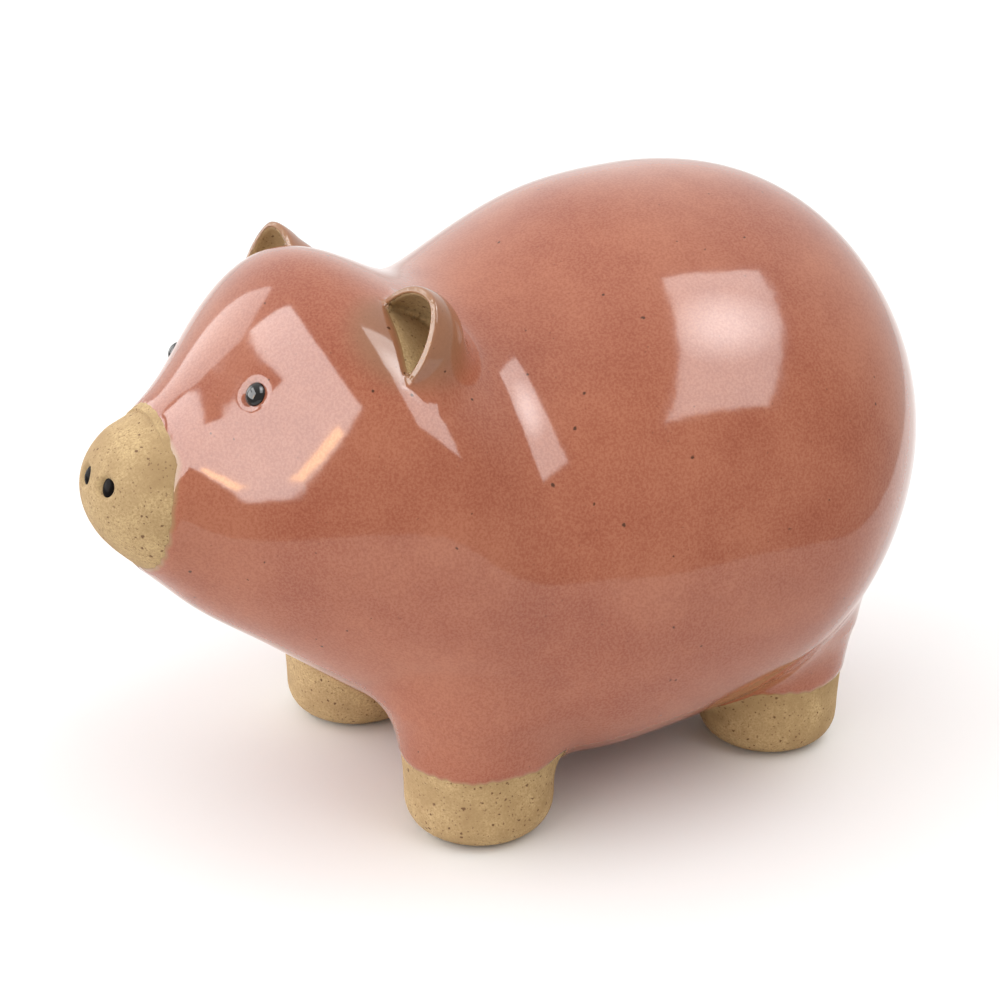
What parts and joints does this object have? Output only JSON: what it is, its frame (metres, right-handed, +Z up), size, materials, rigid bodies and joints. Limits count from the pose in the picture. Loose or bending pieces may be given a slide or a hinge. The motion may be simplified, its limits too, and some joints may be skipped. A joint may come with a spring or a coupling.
{
  "type": "pig figurine",
  "caption": "Standing pig figurine in glazed stoneware with bare clay snout, feet and inner ears, round barrel body, short legs and small black eyes.",
  "frame": {"origin": "on the floor, under the middle of the whole figure's box", "axes": "+Z up, nose towards -Y, the pig's left side towards +X"},
  "size_m": [0.1036, 0.1533, 0.0994],
  "materials": {
    "stoneware": "bare unglazed buff stoneware, sandy, with small brown iron specks",
    "pink_glaze": "glossy salmon pink glaze, slightly mottled, with a few dark specks",
    "black_glaze": "glossy black glaze"
  },
  "bodies": {
    "root": {"body_shell": "stoneware", "snout": "stoneware", "front_left_leg": "stoneware", "front_right_leg": "stoneware", "rear_left_leg": "stoneware", "rear_right_leg": "stoneware", "left_ear": "stoneware", "right_ear": "stoneware", "tail": "stoneware", "body_glaze": "pink_glaze", "front_left_leg_glaze": "pink_glaze", "front_right_leg_glaze": "pink_glaze", "rear_left_leg_glaze": "pink_glaze", "rear_right_leg_glaze": "pink_glaze", "left_ear_glaze": "pink_glaze", "right_ear_glaze": "pink_glaze", "tail_glaze": "pink_glaze", "left_eye": "black_glaze", "right_eye": "black_glaze", "left_nostril": "black_glaze", "right_nostril": "black_glaze"}
  },
  "joints": []
}
